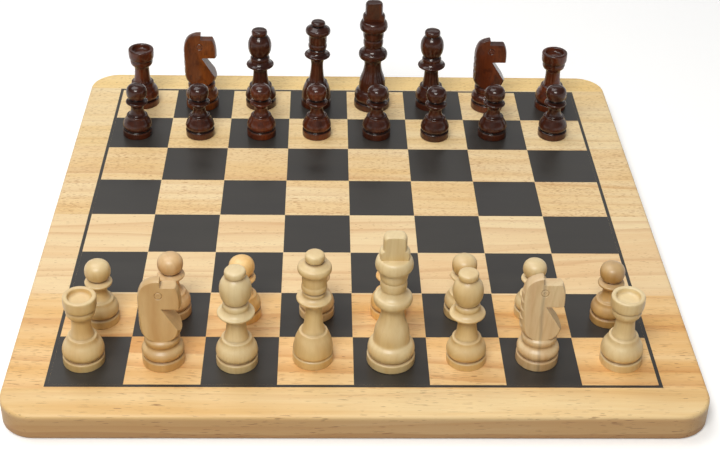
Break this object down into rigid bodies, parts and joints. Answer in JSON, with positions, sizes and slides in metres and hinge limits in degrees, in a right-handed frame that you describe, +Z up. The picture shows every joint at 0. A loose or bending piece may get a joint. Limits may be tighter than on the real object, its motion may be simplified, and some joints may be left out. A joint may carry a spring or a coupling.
{
  "type": "chess set",
  "caption": "Wooden chess set: a square board of glued strips with a printed black field and border line, and turned chessmen that each stand loose on their square",
  "frame": {"origin": "middle of the board's underside", "axes": "+X along the ranks towards the light player's right hand, +Y from the light player's side to the dark player's side, +Z up out of the playing surface"},
  "size_m": [0.35, 0.35, 0.092],
  "materials": {
    "pine": "pale pine under a thin satin lacquer",
    "black_print": "black print with a soft satin sheen",
    "light_wood": "pale close-grained wood, satin lacquer",
    "dark_wood": "red-brown stain under gloss lacquer"
  },
  "bodies": {
    "board": {"strip_front": "pine", "strip_1": "pine", "strip_2": "pine", "strip_3": "pine", "strip_4": "pine", "strip_back": "pine", "dark_squares": "black_print", "border_line": "black_print"},
    "light_rook_a_man": {"light_rook_a": "light_wood"},
    "light_knight_b_man": {"light_knight_b": "light_wood"},
    "light_bishop_c_man": {"light_bishop_c": "light_wood"},
    "light_queen_man": {"light_queen": "light_wood"},
    "light_king_man": {"light_king": "light_wood"},
    "light_bishop_f_man": {"light_bishop_f": "light_wood"},
    "light_knight_g_man": {"light_knight_g": "light_wood"},
    "light_rook_h_man": {"light_rook_h": "light_wood"},
    "light_pawn_a_man": {"light_pawn_a": "light_wood"},
    "light_pawn_b_man": {"light_pawn_b": "light_wood"},
    "light_pawn_c_man": {"light_pawn_c": "light_wood"},
    "light_pawn_d_man": {"light_pawn_d": "light_wood"},
    "light_pawn_e_man": {"light_pawn_e": "light_wood"},
    "light_pawn_f_man": {"light_pawn_f": "light_wood"},
    "light_pawn_g_man": {"light_pawn_g": "light_wood"},
    "light_pawn_h_man": {"light_pawn_h": "light_wood"},
    "dark_pawn_a_man": {"dark_pawn_a": "dark_wood"},
    "dark_pawn_b_man": {"dark_pawn_b": "dark_wood"},
    "dark_pawn_c_man": {"dark_pawn_c": "dark_wood"},
    "dark_pawn_d_man": {"dark_pawn_d": "dark_wood"},
    "dark_pawn_e_man": {"dark_pawn_e": "dark_wood"},
    "dark_pawn_f_man": {"dark_pawn_f": "dark_wood"},
    "dark_pawn_g_man": {"dark_pawn_g": "dark_wood"},
    "dark_pawn_h_man": {"dark_pawn_h": "dark_wood"},
    "dark_rook_a_man": {"dark_rook_a": "dark_wood"},
    "dark_knight_b_man": {"dark_knight_b": "dark_wood"},
    "dark_bishop_c_man": {"dark_bishop_c": "dark_wood"},
    "dark_queen_man": {"dark_queen": "dark_wood"},
    "dark_king_man": {"dark_king": "dark_wood"},
    "dark_bishop_f_man": {"dark_bishop_f": "dark_wood"},
    "dark_knight_g_man": {"dark_knight_g": "dark_wood"},
    "dark_rook_h_man": {"dark_rook_h": "dark_wood"}
  },
  "joints": [
    {"name": "lift_light_rook_a", "type": "slide", "parent": "board", "child": "light_rook_a_man", "axis": [0, 0, 1], "range_m": [0, 0.1]},
    {"name": "lift_light_knight_b", "type": "slide", "parent": "board", "child": "light_knight_b_man", "axis": [0, 0, 1], "range_m": [0, 0.1]},
    {"name": "lift_light_bishop_c", "type": "slide", "parent": "board", "child": "light_bishop_c_man", "axis": [0, 0, 1], "range_m": [0, 0.1]},
    {"name": "lift_light_queen", "type": "slide", "parent": "board", "child": "light_queen_man", "axis": [0, 0, 1], "range_m": [0, 0.1]},
    {"name": "lift_light_king", "type": "slide", "parent": "board", "child": "light_king_man", "axis": [0, 0, 1], "range_m": [0, 0.1]},
    {"name": "lift_light_bishop_f", "type": "slide", "parent": "board", "child": "light_bishop_f_man", "axis": [0, 0, 1], "range_m": [0, 0.1]},
    {"name": "lift_light_knight_g", "type": "slide", "parent": "board", "child": "light_knight_g_man", "axis": [0, 0, 1], "range_m": [0, 0.1]},
    {"name": "lift_light_rook_h", "type": "slide", "parent": "board", "child": "light_rook_h_man", "axis": [0, 0, 1], "range_m": [0, 0.1]},
    {"name": "lift_light_pawn_a", "type": "slide", "parent": "board", "child": "light_pawn_a_man", "axis": [0, 0, 1], "range_m": [0, 0.1]},
    {"name": "lift_light_pawn_b", "type": "slide", "parent": "board", "child": "light_pawn_b_man", "axis": [0, 0, 1], "range_m": [0, 0.1]},
    {"name": "lift_light_pawn_c", "type": "slide", "parent": "board", "child": "light_pawn_c_man", "axis": [0, 0, 1], "range_m": [0, 0.1]},
    {"name": "lift_light_pawn_d", "type": "slide", "parent": "board", "child": "light_pawn_d_man", "axis": [0, 0, 1], "range_m": [0, 0.1]},
    {"name": "lift_light_pawn_e", "type": "slide", "parent": "board", "child": "light_pawn_e_man", "axis": [0, 0, 1], "range_m": [0, 0.1]},
    {"name": "lift_light_pawn_f", "type": "slide", "parent": "board", "child": "light_pawn_f_man", "axis": [0, 0, 1], "range_m": [0, 0.1]},
    {"name": "lift_light_pawn_g", "type": "slide", "parent": "board", "child": "light_pawn_g_man", "axis": [0, 0, 1], "range_m": [0, 0.1]},
    {"name": "lift_light_pawn_h", "type": "slide", "parent": "board", "child": "light_pawn_h_man", "axis": [0, 0, 1], "range_m": [0, 0.1]},
    {"name": "lift_dark_pawn_a", "type": "slide", "parent": "board", "child": "dark_pawn_a_man", "axis": [0, 0, 1], "range_m": [0, 0.1]},
    {"name": "lift_dark_pawn_b", "type": "slide", "parent": "board", "child": "dark_pawn_b_man", "axis": [0, 0, 1], "range_m": [0, 0.1]},
    {"name": "lift_dark_pawn_c", "type": "slide", "parent": "board", "child": "dark_pawn_c_man", "axis": [0, 0, 1], "range_m": [0, 0.1]},
    {"name": "lift_dark_pawn_d", "type": "slide", "parent": "board", "child": "dark_pawn_d_man", "axis": [0, 0, 1], "range_m": [0, 0.1]},
    {"name": "lift_dark_pawn_e", "type": "slide", "parent": "board", "child": "dark_pawn_e_man", "axis": [0, 0, 1], "range_m": [0, 0.1]},
    {"name": "lift_dark_pawn_f", "type": "slide", "parent": "board", "child": "dark_pawn_f_man", "axis": [0, 0, 1], "range_m": [0, 0.1]},
    {"name": "lift_dark_pawn_g", "type": "slide", "parent": "board", "child": "dark_pawn_g_man", "axis": [0, 0, 1], "range_m": [0, 0.1]},
    {"name": "lift_dark_pawn_h", "type": "slide", "parent": "board", "child": "dark_pawn_h_man", "axis": [0, 0, 1], "range_m": [0, 0.1]},
    {"name": "lift_dark_rook_a", "type": "slide", "parent": "board", "child": "dark_rook_a_man", "axis": [0, 0, 1], "range_m": [0, 0.1]},
    {"name": "lift_dark_knight_b", "type": "slide", "parent": "board", "child": "dark_knight_b_man", "axis": [0, 0, 1], "range_m": [0, 0.1]},
    {"name": "lift_dark_bishop_c", "type": "slide", "parent": "board", "child": "dark_bishop_c_man", "axis": [0, 0, 1], "range_m": [0, 0.1]},
    {"name": "lift_dark_queen", "type": "slide", "parent": "board", "child": "dark_queen_man", "axis": [0, 0, 1], "range_m": [0, 0.1]},
    {"name": "lift_dark_king", "type": "slide", "parent": "board", "child": "dark_king_man", "axis": [0, 0, 1], "range_m": [0, 0.1]},
    {"name": "lift_dark_bishop_f", "type": "slide", "parent": "board", "child": "dark_bishop_f_man", "axis": [0, 0, 1], "range_m": [0, 0.1]},
    {"name": "lift_dark_knight_g", "type": "slide", "parent": "board", "child": "dark_knight_g_man", "axis": [0, 0, 1], "range_m": [0, 0.1]},
    {"name": "lift_dark_rook_h", "type": "slide", "parent": "board", "child": "dark_rook_h_man", "axis": [0, 0, 1], "range_m": [0, 0.1]}
  ]
}
